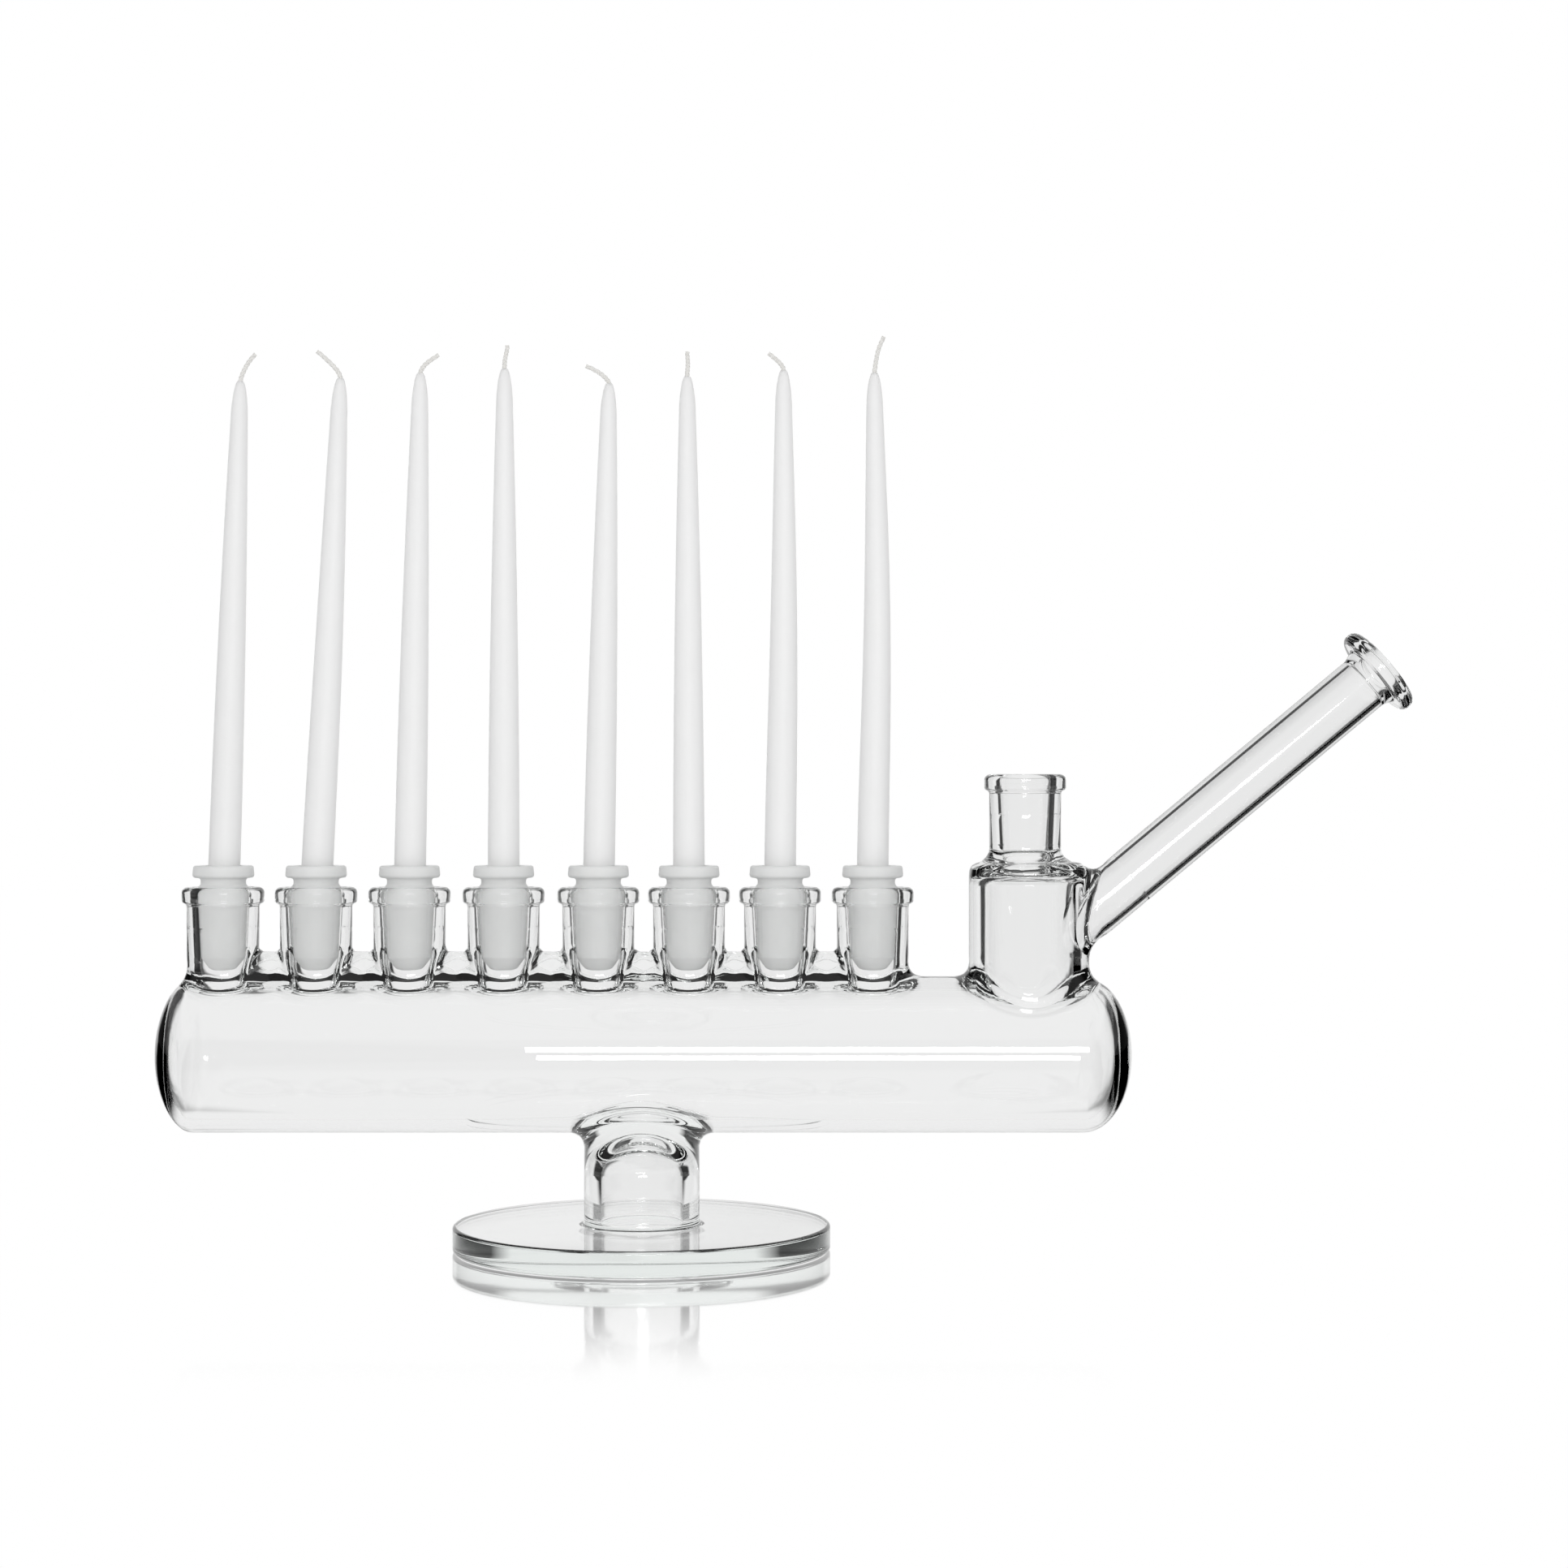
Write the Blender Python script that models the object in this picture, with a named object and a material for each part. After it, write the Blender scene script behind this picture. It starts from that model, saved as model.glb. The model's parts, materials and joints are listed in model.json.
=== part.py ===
"""A glass menorah: eight ground-glass candle cups in a row on one horizontal glass chamber, a raised
socket for the server candle on a tower, a slanting mouth tube, and a heavy round foot.

Frame: +X along the chamber towards the mouth tube, +Z up, origin at the middle of the foot's underside.
Run with: blender --background --python part.py
"""

import math

import bmesh
import bpy
from mathutils import Vector

MM = 0.001

# Candles and their wicks
CANDLE_DIAMETER = 9.1 * MM
CANDLE_LENGTH = 156.5 * MM
CANDLE_SLIMMING = 0.48  # share of the diameter lost by the shoulder, growing with the height squared
CANDLE_SHOULDER = 7.0 * MM  # the last stretch, which rounds in to the wick
WICK_DIAMETER = 1.3 * MM
WICK_CLEARANCE = 0.15 * MM
WICK_SKIN = 0.35 * MM  # wax left around the wick at a candle's tip
WICK_START = 2.0 * MM  # the wick stops this far above a candle's foot
WICK_RISE_FROM_WAX = 0.5 * MM
# Each place in the row: the socket's shift from an even pitch, the candle's lean in degrees towards +X,
# its extra length, and where its wick ends beside and above the wax tip. Blown glass and dipped wax vary.
PLACES = (
    (0.0 * MM, 1.9, -1.8 * MM, (4.2 * MM, 7.9 * MM)),
    (0.0 * MM, 2.7, -0.9 * MM, (-7.2 * MM, 7.4 * MM)),
    (0.2 * MM, 1.2, 0.5 * MM, (4.9 * MM, 5.3 * MM)),
    (0.6 * MM, 0.1, 1.7 * MM, (0.7 * MM, 6.7 * MM)),
    (1.2 * MM, 1.2, -2.5 * MM, (-6.6 * MM, 4.9 * MM)),
    (0.6 * MM, -0.2, -0.5 * MM, (0.3 * MM, 7.1 * MM)),
    (0.1 * MM, 0.4, 1.2 * MM, (-4.2 * MM, 4.9 * MM)),
    (0.1 * MM, 0.2, 0.5 * MM, (2.6 * MM, 10.4 * MM)),
)

# Candle cups, each a closed glass cup with a ground cone
CANDLE_CLEARANCE = 0.65 * MM
CUP_WALL = 1.2 * MM
CUP_LIP_PROUD = 2.4 * MM
CUP_LIP_HEIGHT = 3.4 * MM
CUP_RISE = 6.2 * MM  # lip top above the socket's mouth
CANDLE_SEAT_DEPTH = 16.0 * MM  # lip top to a candle's foot
SEAT_GAP = 0.5 * MM
SEAT_STEP = 1.2 * MM  # ledge that a candle's foot stands on
WELL_FLOOR = 2.4 * MM  # glass under the blind well below the ledge
CONE_STEP = 0.85 * MM  # the ground cone stands this proud of the neck
CONE_TAPER = 0.05  # radius lost per unit of depth, the standard 1 in 10 on diameter
CONE_LENGTH = 20.0 * MM
CONE_BELOW_MOUTH = 0.2 * MM
CUP_NOSE = 3.4 * MM  # rounded closed end under the cone
EDGE_SOFT = 0.5 * MM

# Sockets, the female halves of the ground joints
FIT_GAP = 0.2 * MM
SOCKET_WALL = 3.0 * MM
SOCKET_HEIGHT = 25.6 * MM  # mouth above the top of the chamber
SERVER_HEIGHT = 25.1 * MM  # mouth above the top of the tower
LIP_PROUD = 1.45 * MM
LIP_HEIGHT = 4.3 * MM
LIP_ROUND = 1.4 * MM
FOOT_FLARE = 2.0 * MM
FOOT_FLARE_HEIGHT = 3.2 * MM
FOOT_EDGE = 0.6 * MM  # upright edge under the server joint's flare
LIP_GAP = 3.15 * MM  # between neighbouring socket lips at an even pitch
SOCKET_COUNT = len(PLACES)

# Chamber: one horizontal tube with domed ends
TUBE_DIAMETER = 44.6 * MM
TUBE_WALL = 3.6 * MM
LEFT_DOME = 11.0 * MM
RIGHT_DOME = 14.0 * MM
LEFT_MARGIN = 19.2 * MM  # tube end to the first socket's axis
RIGHT_MARGIN = 29.3 * MM  # tower's axis to the other tube end
CHAMBER_SHIFT = 0.55 * MM  # chamber's middle from the foot's axis

# Tower with the server socket, and the mouth tube
TOWER_DIAMETER = 34.4 * MM
TOWER_WALL = 4.5 * MM
TOWER_TOP_WALL = 3.2 * MM
TOWER_HEIGHT = 32.8 * MM  # above the top of the chamber
TOWER_ROUND = 2.0 * MM
TOWER_GAP = 15.4 * MM  # clear space between the last socket's foot and the tower
SERVER_SHIFT = -1.1 * MM  # the server socket stands a little off the tower's axis
MOUTH_DIAMETER = 16.3 * MM
MOUTH_WALL = 1.8 * MM
MOUTH_ANGLE = math.radians(39.8)
MOUTH_LENGTH = 132.4 * MM  # tower's axis to the face of the lip
MOUTH_SHOULDER = 3.8 * MM  # tower wall left above the mouth tube
MOUTHPIECE_PROUD = 5.2 * MM
MOUTHPIECE_THICKNESS = 4.5 * MM
MOUTHPIECE_ROUND = 1.2 * MM

# Foot
BASE_DIAMETER = 107.9 * MM
BASE_THICKNESS = 7.4 * MM
BASE_EDGE = 0.5 * MM
STEM_DIAMETER = 33.0 * MM
STEM_WALL = 4.8 * MM
STEM_HEIGHT = 26.0 * MM
STEM_DOME = 8.0 * MM
STEM_CROWN = 3.0 * MM  # glass between the stem's hollow and the chamber
STEM_FLARE = 2.2 * MM

WELD_GAP = 0.3 * MM  # hairline kept between pieces that are fused in the real glass
ROUND_SIDES = 16
TUBE_SIDES = 32
CANDLE_SIDES = 12
DOME_STEPS = 4
CANDLE_RINGS = (0, 0.4, 0.6, 0.8, 1)  # shares of a candle's height up to its shoulder
WICK_BENDS = (0.3, 0.65, 1)  # shares of a wick's rise above the wax
WICK_CURL = 1.6  # how late a wick turns over

# Sizes that follow from the driving ones
CANDLE_RADIUS = CANDLE_DIAMETER / 2
BORE_RADIUS = CANDLE_RADIUS + CANDLE_CLEARANCE
WELL_RADIUS = BORE_RADIUS - SEAT_STEP
NECK_RADIUS = BORE_RADIUS + CUP_WALL
CONE_RADIUS = NECK_RADIUS + CONE_STEP
CONE_END_RADIUS = CONE_RADIUS - CONE_TAPER * CONE_LENGTH
CONE_END_Z = -CONE_BELOW_MOUTH - CONE_LENGTH  # from the socket's mouth, as all of a cup's heights are
CUP_BOTTOM_Z = CONE_END_Z - CUP_NOSE
CANDLE_FOOT_Z = CUP_RISE - CANDLE_SEAT_DEPTH
LEDGE_Z = CANDLE_FOOT_Z - SEAT_GAP
SOCKET_BORE_RADIUS = CONE_END_RADIUS + FIT_GAP
SOCKET_RADIUS = CONE_RADIUS + SOCKET_WALL
LIP_RADIUS = SOCKET_RADIUS + LIP_PROUD
FOOT_RADIUS = SOCKET_RADIUS + FOOT_FLARE
SOCKET_PITCH = 2 * LIP_RADIUS + LIP_GAP
TUBE_RADIUS = TUBE_DIAMETER / 2
TOWER_RADIUS = TOWER_DIAMETER / 2
MOUTH_RADIUS = MOUTH_DIAMETER / 2
STEM_RADIUS = STEM_DIAMETER / 2
ROW_LENGTH = SOCKET_PITCH * (SOCKET_COUNT - 1)
TOWER_STEP = FOOT_RADIUS + TOWER_GAP + TOWER_RADIUS  # last socket's axis to the tower's axis
TUBE_LENGTH = LEFT_MARGIN + ROW_LENGTH + TOWER_STEP + RIGHT_MARGIN
FIRST_SOCKET_X = CHAMBER_SHIFT + LEFT_MARGIN - TUBE_LENGTH / 2
TOWER_X = FIRST_SOCKET_X + ROW_LENGTH + TOWER_STEP
SERVER_X = TOWER_X + SERVER_SHIFT
TUBE_AXIS_Z = BASE_THICKNESS + STEM_HEIGHT + TUBE_RADIUS
TUBE_TOP_Z = TUBE_AXIS_Z + TUBE_RADIUS
SOCKET_MOUTH_Z = TUBE_TOP_Z + SOCKET_HEIGHT
TOWER_TOP_Z = TUBE_TOP_Z + TOWER_HEIGHT
SERVER_MOUTH_Z = TOWER_TOP_Z + SERVER_HEIGHT
MOUTH_DROP = MOUTH_RADIUS / math.cos(MOUTH_ANGLE) + MOUTH_SHOULDER
MOUTH_START_Z = TOWER_TOP_Z - MOUTH_DROP - TOWER_RADIUS * math.tan(MOUTH_ANGLE)
MOUTH_START = Vector((TOWER_X, 0, MOUTH_START_Z))
MOUTH_TURN = (0, math.pi / 2 - MOUTH_ANGLE, 0)

CLEAR_GLASS = ("clear_glass", (0.93, 0.95, 0.94), 0.02)
GROUND_GLASS = ("ground_glass", (0.86, 0.87, 0.86), 0.55)
WAX = ("wax", (0.93, 0.92, 0.89), 0.45)
COTTON = ("cotton", (0.90, 0.89, 0.86), 0.85)
GLASS_IOR = 1.47


def clear_scene():
    for obj in list(bpy.data.objects):
        bpy.data.objects.remove(obj)


def material(name, colour, roughness):
    found = bpy.data.materials.get(name)
    if found:
        return found
    made = bpy.data.materials.new(name)
    made.use_nodes = True
    shader = made.node_tree.nodes["Principled BSDF"]
    shader.inputs["Base Color"].default_value = (*colour, 1)
    shader.inputs["Roughness"].default_value = roughness
    shader.inputs["Metallic"].default_value = 0
    if "glass" in name:
        shader.inputs["Transmission Weight"].default_value = 1
        shader.inputs["IOR"].default_value = GLASS_IOR
    return made


def arc(centre_r, centre_z, radius, start, end, steps):
    """Points of a round stretch of a profile, from one angle to another in degrees."""
    angles = [math.radians(start + (end - start) * i / steps) for i in range(steps + 1)]
    return [(centre_r + radius * math.cos(a), centre_z + radius * math.sin(a)) for a in angles]


def dome(radius, rim_z, tip_z, steps=DOME_STEPS):
    """A quarter ellipse from just past the rim at rim_z to the pole at tip_z."""
    turns = [math.pi / 2 * i / steps for i in range(1, steps + 1)]
    points = [(radius * math.cos(t), rim_z + (tip_z - rim_z) * math.sin(t)) for t in turns]
    return points[:-1] + [(0, tip_z)]


def turned(name, profile, sides, finish, closed=True):
    """A solid of revolution about its own Z axis. An open profile starts and ends on the axis."""
    mesh = bpy.data.meshes.new(name)
    shape = bmesh.new()
    points = [shape.verts.new((r, 0, z)) for r, z in profile]
    edges = [shape.edges.new(pair) for pair in zip(points, points[1:])]
    if closed:
        edges.append(shape.edges.new((points[-1], points[0])))
    bmesh.ops.spin(
        shape,
        geom=points + edges,
        cent=(0, 0, 0),
        axis=(0, 0, 1),
        dvec=(0, 0, 0),
        angle=2 * math.pi,
        steps=sides,
        use_merge=True,
    )
    bmesh.ops.remove_doubles(shape, verts=shape.verts, dist=1e-6)
    bmesh.ops.recalc_face_normals(shape, faces=shape.faces)
    shape.to_mesh(mesh)
    shape.free()
    mesh.materials.append(material(*finish))
    mesh.shade_smooth()
    mesh.set_sharp_from_angle(angle=math.radians(40))
    obj = bpy.data.objects.new(name, mesh)
    bpy.context.scene.collection.objects.link(obj)
    return obj


def cutter(obj):
    """Marks a shape that only cuts others, and isn't part of the object."""
    obj.hide_render = True
    obj.display_type = "WIRE"
    return obj


def cut(obj, tool):
    modifier = obj.modifiers.new(tool.name, "BOOLEAN")
    modifier.operation = "DIFFERENCE"
    modifier.solver = "EXACT"
    modifier.object = tool


def rod(name, radius, low, high, sides):
    profile = [(0, high), (radius, high), (radius, low), (0, low)]
    return cutter(turned(name, profile, sides, CLEAR_GLASS, False))


def lying_tube(name, grown_by):
    """The chamber's outer shape, grown all round by grown_by, lying along X."""
    radius = TUBE_RADIUS + grown_by
    right_tip = TUBE_LENGTH / 2 + grown_by
    left_tip = -right_tip
    right_rim = TUBE_LENGTH / 2 - RIGHT_DOME
    left_rim = LEFT_DOME - TUBE_LENGTH / 2
    right_half = dome(radius, right_rim, right_tip)[::-1] + [(radius, right_rim)]
    left_half = [(radius, left_rim)] + dome(radius, left_rim, left_tip)
    obj = turned(name, right_half + left_half, TUBE_SIDES, CLEAR_GLASS, False)
    obj.rotation_euler = (0, math.pi / 2, 0)
    obj.location = (CHAMBER_SHIFT, 0, TUBE_AXIS_Z)
    return obj


def socket_x(index):
    return FIRST_SOCKET_X + index * SOCKET_PITCH + PLACES[index][0]


def make_chamber():
    tube = lying_tube("main_tube", 0)
    cut(tube, cutter(lying_tube("chamber_hollow", -TUBE_WALL)))
    for index in range(SOCKET_COUNT):
        hole = rod(f"socket_hole_{index + 1}", SOCKET_BORE_RADIUS, 0, 2 * TUBE_RADIUS, ROUND_SIDES)
        hole.location = (socket_x(index), 0, TUBE_AXIS_Z)
        cut(tube, hole)
    hole = rod("tower_hole", TOWER_RADIUS - TOWER_WALL, 0, 2 * TUBE_RADIUS, TUBE_SIDES)
    hole.location = (TOWER_X, 0, TUBE_AXIS_Z)
    cut(tube, hole)


def socket_profile(flare_z, foot_z):
    """Female joint with its mouth at Z 0: round lip, straight body, foot flared by flare_z, tapered bore."""
    mouth_radius = CONE_RADIUS + FIT_GAP
    round_centre = LIP_RADIUS - LIP_ROUND
    return [
        (mouth_radius, 0),
        *arc(round_centre, -LIP_ROUND, LIP_ROUND, 90, 0, 2),
        (LIP_RADIUS, LIP_ROUND - LIP_HEIGHT),
        (SOCKET_RADIUS, -LIP_HEIGHT),
        (SOCKET_RADIUS, flare_z + FOOT_FLARE_HEIGHT),
        (FOOT_RADIUS, flare_z),
        (FOOT_RADIUS, foot_z),
        (SOCKET_BORE_RADIUS, foot_z),
        (SOCKET_BORE_RADIUS, CONE_END_Z),
        (mouth_radius, -CONE_BELOW_MOUTH),
    ]


def make_candle_sockets(envelope):
    profile = socket_profile(-SOCKET_HEIGHT, TUBE_AXIS_Z - SOCKET_MOUTH_Z)
    for index in range(SOCKET_COUNT):
        socket = turned(f"candle_socket_{index + 1}", profile, ROUND_SIDES, CLEAR_GLASS)
        socket.location = (socket_x(index), 0, SOCKET_MOUTH_Z)
        cut(socket, envelope)


def make_tower(envelope):
    """A bottle-shaped tube: a closed shoulder with a hole for the server socket, and open underneath."""
    inner = TOWER_RADIUS - TOWER_WALL
    bottom = TUBE_AXIS_Z - TOWER_TOP_Z
    profile = [
        (0, 0),
        *arc(TOWER_RADIUS - TOWER_ROUND, -TOWER_ROUND, TOWER_ROUND, 90, 0, 3),
        (TOWER_RADIUS, bottom),
        (inner, bottom),
        (inner, -TOWER_TOP_WALL - TOWER_ROUND),
        (inner - TOWER_ROUND, -TOWER_TOP_WALL),
        (0, -TOWER_TOP_WALL),
    ]
    tower = turned("server_tower", profile, TUBE_SIDES, CLEAR_GLASS, False)
    tower.location = (TOWER_X, 0, TOWER_TOP_Z)
    cut(tower, envelope)
    hole = rod("server_hole", SOCKET_BORE_RADIUS, -2 * TOWER_TOP_WALL, TOWER_TOP_WALL, ROUND_SIDES)
    hole.location = (SERVER_X, 0, TOWER_TOP_Z)
    cut(tower, hole)
    bore = rod("mouth_hole", MOUTH_RADIUS - MOUTH_WALL, 0, 3 * TOWER_RADIUS, ROUND_SIDES)
    bore.location = MOUTH_START
    bore.rotation_euler = MOUTH_TURN
    cut(tower, bore)


def make_server_joint():
    foot_z = WELD_GAP - SERVER_HEIGHT
    profile = socket_profile(foot_z + FOOT_EDGE, foot_z)
    joint = turned("server_joint", profile, ROUND_SIDES, CLEAR_GLASS)
    joint.location = (SERVER_X, 0, SERVER_MOUTH_Z)


def make_mouth_tube():
    bore = MOUTH_RADIUS - MOUTH_WALL
    back = MOUTH_LENGTH - MOUTHPIECE_THICKNESS
    end = back - WELD_GAP
    outline = [(MOUTH_RADIUS, end), (MOUTH_RADIUS, 0), (bore, 0), (bore, end)]
    tube = turned("mouth_tube", outline, ROUND_SIDES, CLEAR_GLASS)
    round_centre = MOUTH_RADIUS + MOUTHPIECE_PROUD - MOUTHPIECE_ROUND
    lip_outline = [
        (bore, MOUTH_LENGTH),
        *arc(round_centre, MOUTH_LENGTH - MOUTHPIECE_ROUND, MOUTHPIECE_ROUND, 90, 0, 2),
        *arc(round_centre, back + MOUTHPIECE_ROUND, MOUTHPIECE_ROUND, 0, -90, 2),
        (bore, back),
    ]
    lip = turned("mouthpiece_lip", lip_outline, 2 * ROUND_SIDES, CLEAR_GLASS)
    for piece in (tube, lip):
        piece.location = MOUTH_START
        piece.rotation_euler = MOUTH_TURN
    wall = rod("tower_envelope", TOWER_RADIUS + WELD_GAP, -2 * TOWER_HEIGHT, TOWER_HEIGHT, TUBE_SIDES)
    wall.location = (TOWER_X, 0, TOWER_TOP_Z)
    cut(tube, wall)


def make_base():
    radius = BASE_DIAMETER / 2
    profile = [
        (0, BASE_THICKNESS),
        (radius - BASE_EDGE, BASE_THICKNESS),
        (radius, BASE_THICKNESS - BASE_EDGE),
        (radius, BASE_EDGE),
        (radius - BASE_EDGE, 0),
        (0, 0),
    ]
    turned("base_disc", profile, 2 * TUBE_SIDES, CLEAR_GLASS, False)


def make_stem(envelope):
    """The hollow stem, open towards the foot, domed inside and saddled round the chamber on top."""
    low = BASE_THICKNESS + WELD_GAP
    weld = BASE_THICKNESS + STEM_HEIGHT
    crown = weld - STEM_CROWN
    hollow = STEM_RADIUS - STEM_WALL
    profile = [
        (0, TUBE_AXIS_Z),
        (STEM_RADIUS + STEM_FLARE, TUBE_AXIS_Z),
        (STEM_RADIUS + STEM_FLARE, weld + STEM_FLARE),
        (STEM_RADIUS, weld - STEM_FLARE),
        (STEM_RADIUS, low + STEM_FLARE),
        (STEM_RADIUS + STEM_FLARE / 2, low),
        (hollow, low),
        (hollow, crown - STEM_DOME),
        *dome(hollow, crown - STEM_DOME, crown),
    ]
    cut(turned("foot_stem", profile, TUBE_SIDES, CLEAR_GLASS, False), envelope)


def cup_profile():
    """A closed cup with the socket's mouth at Z 0: ledged bore, lip, neck, ground cone and round nose."""
    lip_radius = NECK_RADIUS + CUP_LIP_PROUD
    lip_low = CUP_RISE - CUP_LIP_HEIGHT
    well_z = CUP_BOTTOM_Z + WELL_FLOOR
    return [
        (0, well_z),
        (WELL_RADIUS, well_z + WELL_FLOOR / 2),
        (WELL_RADIUS, LEDGE_Z),
        (BORE_RADIUS, LEDGE_Z),
        (BORE_RADIUS, CUP_RISE),
        (lip_radius - EDGE_SOFT, CUP_RISE),
        (lip_radius, CUP_RISE - EDGE_SOFT),
        (lip_radius, lip_low),
        (NECK_RADIUS, lip_low),
        (NECK_RADIUS, CONE_STEP - CONE_BELOW_MOUTH),
        (CONE_RADIUS, -CONE_BELOW_MOUTH),
        (CONE_END_RADIUS, CONE_END_Z),
        *dome(CONE_END_RADIUS, CONE_END_Z, CUP_BOTTOM_Z, 3),
    ]


def candle_profile(length):
    """A dipped taper: full at the foot, slimming with the height squared, then rounding in to the wick."""
    hole = WICK_DIAMETER / 2 + WICK_CLEARANCE
    tip = hole + WICK_SKIN
    shoulder_z = length - CANDLE_SHOULDER
    shoulder = CANDLE_RADIUS * (1 - CANDLE_SLIMMING)
    body = [
        (CANDLE_RADIUS * (1 - CANDLE_SLIMMING * share**2), share * shoulder_z)
        for share in CANDLE_RINGS
    ]
    turn_in = [
        (tip + (shoulder - tip) * r, shoulder_z + CANDLE_SHOULDER * z)
        for r, z in arc(0, 0, 1, 30, 60, 1)
    ]
    return [(hole, 0), *body, *turn_in, (tip, length), (hole, length)]


def wick_curve(name, length, reach):
    """Cotton wick: straight up the candle's hole, then bent over to where it ends beyond the tip."""
    side, rise = reach
    wax_end = length + WICK_RISE_FROM_WAX
    bend = [(side * share**WICK_CURL, wax_end + rise * share) for share in WICK_BENDS]
    route = [(0, WICK_START), (0, wax_end), *bend]
    curve = bpy.data.curves.new(name, "CURVE")
    curve.dimensions = "3D"
    curve.bevel_depth = WICK_DIAMETER / 2
    curve.bevel_resolution = 1
    curve.use_fill_caps = True
    spline = curve.splines.new("POLY")
    spline.points.add(len(route) - 1)
    for point, (x, z) in zip(spline.points, route):
        point.co = (x, 0, z, 1)
    curve.materials.append(material(*COTTON))
    obj = bpy.data.objects.new(name, curve)
    bpy.context.scene.collection.objects.link(obj)
    return obj


def make_cups_and_candles():
    """Each cup stands on its socket's axis. Each candle leans about the middle of its seated length."""
    profile = cup_profile()
    pivot_z = CUP_RISE - CANDLE_SEAT_DEPTH / 2
    for index, (_, lean, longer, reach) in enumerate(PLACES):
        number = index + 1
        mouth = Vector((socket_x(index), 0, SOCKET_MOUTH_Z))
        cup = turned(f"candle_cup_{number}", profile, ROUND_SIDES, GROUND_GLASS, False)
        cup.location = mouth
        stance = bpy.data.objects.new(f"stance_{number}", None)
        bpy.context.scene.collection.objects.link(stance)
        stance.location = mouth + Vector((0, 0, pivot_z))
        stance.rotation_euler = (0, math.radians(lean), 0)
        length = CANDLE_LENGTH + longer
        candle = turned(f"candle_{number}", candle_profile(length), CANDLE_SIDES, WAX)
        wick = wick_curve(f"candle_wick_{number}", length, reach)
        for piece in (candle, wick):
            piece.parent = stance
            piece.location = (0, 0, CANDLE_FOOT_Z - pivot_z)


def main():
    clear_scene()
    envelope = cutter(lying_tube("tube_envelope", WELD_GAP))
    make_base()
    make_stem(envelope)
    make_chamber()
    make_candle_sockets(envelope)
    make_tower(envelope)
    make_server_joint()
    make_mouth_tube()
    make_cups_and_candles()


main()
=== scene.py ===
"""Looks for the glass menorah: one hollow blown-glass body, ground-glass cups, dipped wax tapers and
braided wicks, on a pale glossy floor in a bright studio. Places and sizes come from the frame."""

import json
import math

import bpy
import numpy as np
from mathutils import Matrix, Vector


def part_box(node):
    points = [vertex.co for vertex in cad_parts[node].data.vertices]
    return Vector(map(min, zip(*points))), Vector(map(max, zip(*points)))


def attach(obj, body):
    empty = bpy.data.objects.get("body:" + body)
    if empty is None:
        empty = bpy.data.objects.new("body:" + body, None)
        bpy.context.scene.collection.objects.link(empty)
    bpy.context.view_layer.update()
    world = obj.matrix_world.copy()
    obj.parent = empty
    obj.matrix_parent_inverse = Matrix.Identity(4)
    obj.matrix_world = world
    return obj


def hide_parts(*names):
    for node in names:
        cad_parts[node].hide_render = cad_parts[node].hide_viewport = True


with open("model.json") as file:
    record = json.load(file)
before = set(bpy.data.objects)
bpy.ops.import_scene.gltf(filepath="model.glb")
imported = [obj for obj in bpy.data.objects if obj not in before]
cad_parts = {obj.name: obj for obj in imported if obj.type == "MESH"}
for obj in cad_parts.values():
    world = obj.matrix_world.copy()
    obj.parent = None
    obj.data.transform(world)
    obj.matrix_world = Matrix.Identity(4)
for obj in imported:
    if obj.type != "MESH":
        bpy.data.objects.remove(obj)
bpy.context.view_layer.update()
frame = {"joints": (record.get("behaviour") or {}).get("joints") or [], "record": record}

MM = 0.001
CUPS = range(1, 9)

# Blown glass body
VOXEL = 1.2 * MM
BRACE = 0.3 * MM
PATTERN_STEPS = 256
HOLLOW_STEPS = 120
JOINT_STEPS = 72
LAPPED = 0.03 * MM  # a ground joint's own glass stands this proud of the tube it is fused to
TUBE_WALL = 3.6 * MM
END_WALL = 4.4 * MM
LEFT_DOME = 11.0 * MM
RIGHT_DOME = 14.0 * MM
LEFT_FULLNESS = 0.82
RIGHT_FULLNESS = 1.0
HOLLOW_FULLNESS = 1.25
SOCKET_RADIUS = 10.25 * MM
SOCKET_LIP_RADIUS = 11.7 * MM
SOCKET_LIP_HEIGHT = 4.4 * MM
SOCKET_BORE = 7.4 * MM
SOCKET_BORE_LOW = 6.45 * MM
GROUND_LENGTH = 20.0 * MM
RIDGE_RADIUS = 6.5 * MM  # glass heaped along the chamber's top between the sockets
VALLEY_RADIUS = 3.05 * MM
VALLEY_RISE = 4.1 * MM  # lowest point between two sockets above the chamber
JOINT_LAP_Z = 11.5 * MM  # below a socket's mouth, where its exact upper part starts
MOUTH_ANGLE = math.radians(39.8)
MOUTH_LAP = 92.0 * MM  # from the lip's middle back towards the tower
TOWER_WALL = 4.5 * MM
TOWER_TOP_WALL = 3.4 * MM
MOUTH_WALL = 1.8 * MM
LIP_THICKNESS = 4.5 * MM
STEM_RADIUS = 16.5 * MM
STEM_WALL = 4.8 * MM
STEM_DOME = 13.0 * MM
STEM_LAP = 15.0 * MM  # height above the foot up to which the stem is turned with it
STEM_SINK = 0.4 * MM  # the hollow bites this far into the foot, where the glass is fused
WELD_SMOOTHING = ((6 * MM, 5), (4.5 * MM, 8), (3.2 * MM, 10))  # reach round a weld, and repeats
TRUE_START = 3.5 * MM  # from here outward the skin is drawn back to the true tubes
TRUE_SPAN = 3.0 * MM
SERVER_WELD = 1.0 * MM  # the raised joint's weld is softened this much less
ROW_DEPTH = 5 * MM  # the ridge between the sockets keeps its valleys
ROW_START = 1.0 * MM
ROW_SPAN = 2.0 * MM
ROW_KEPT = 3.0 * MM

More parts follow.
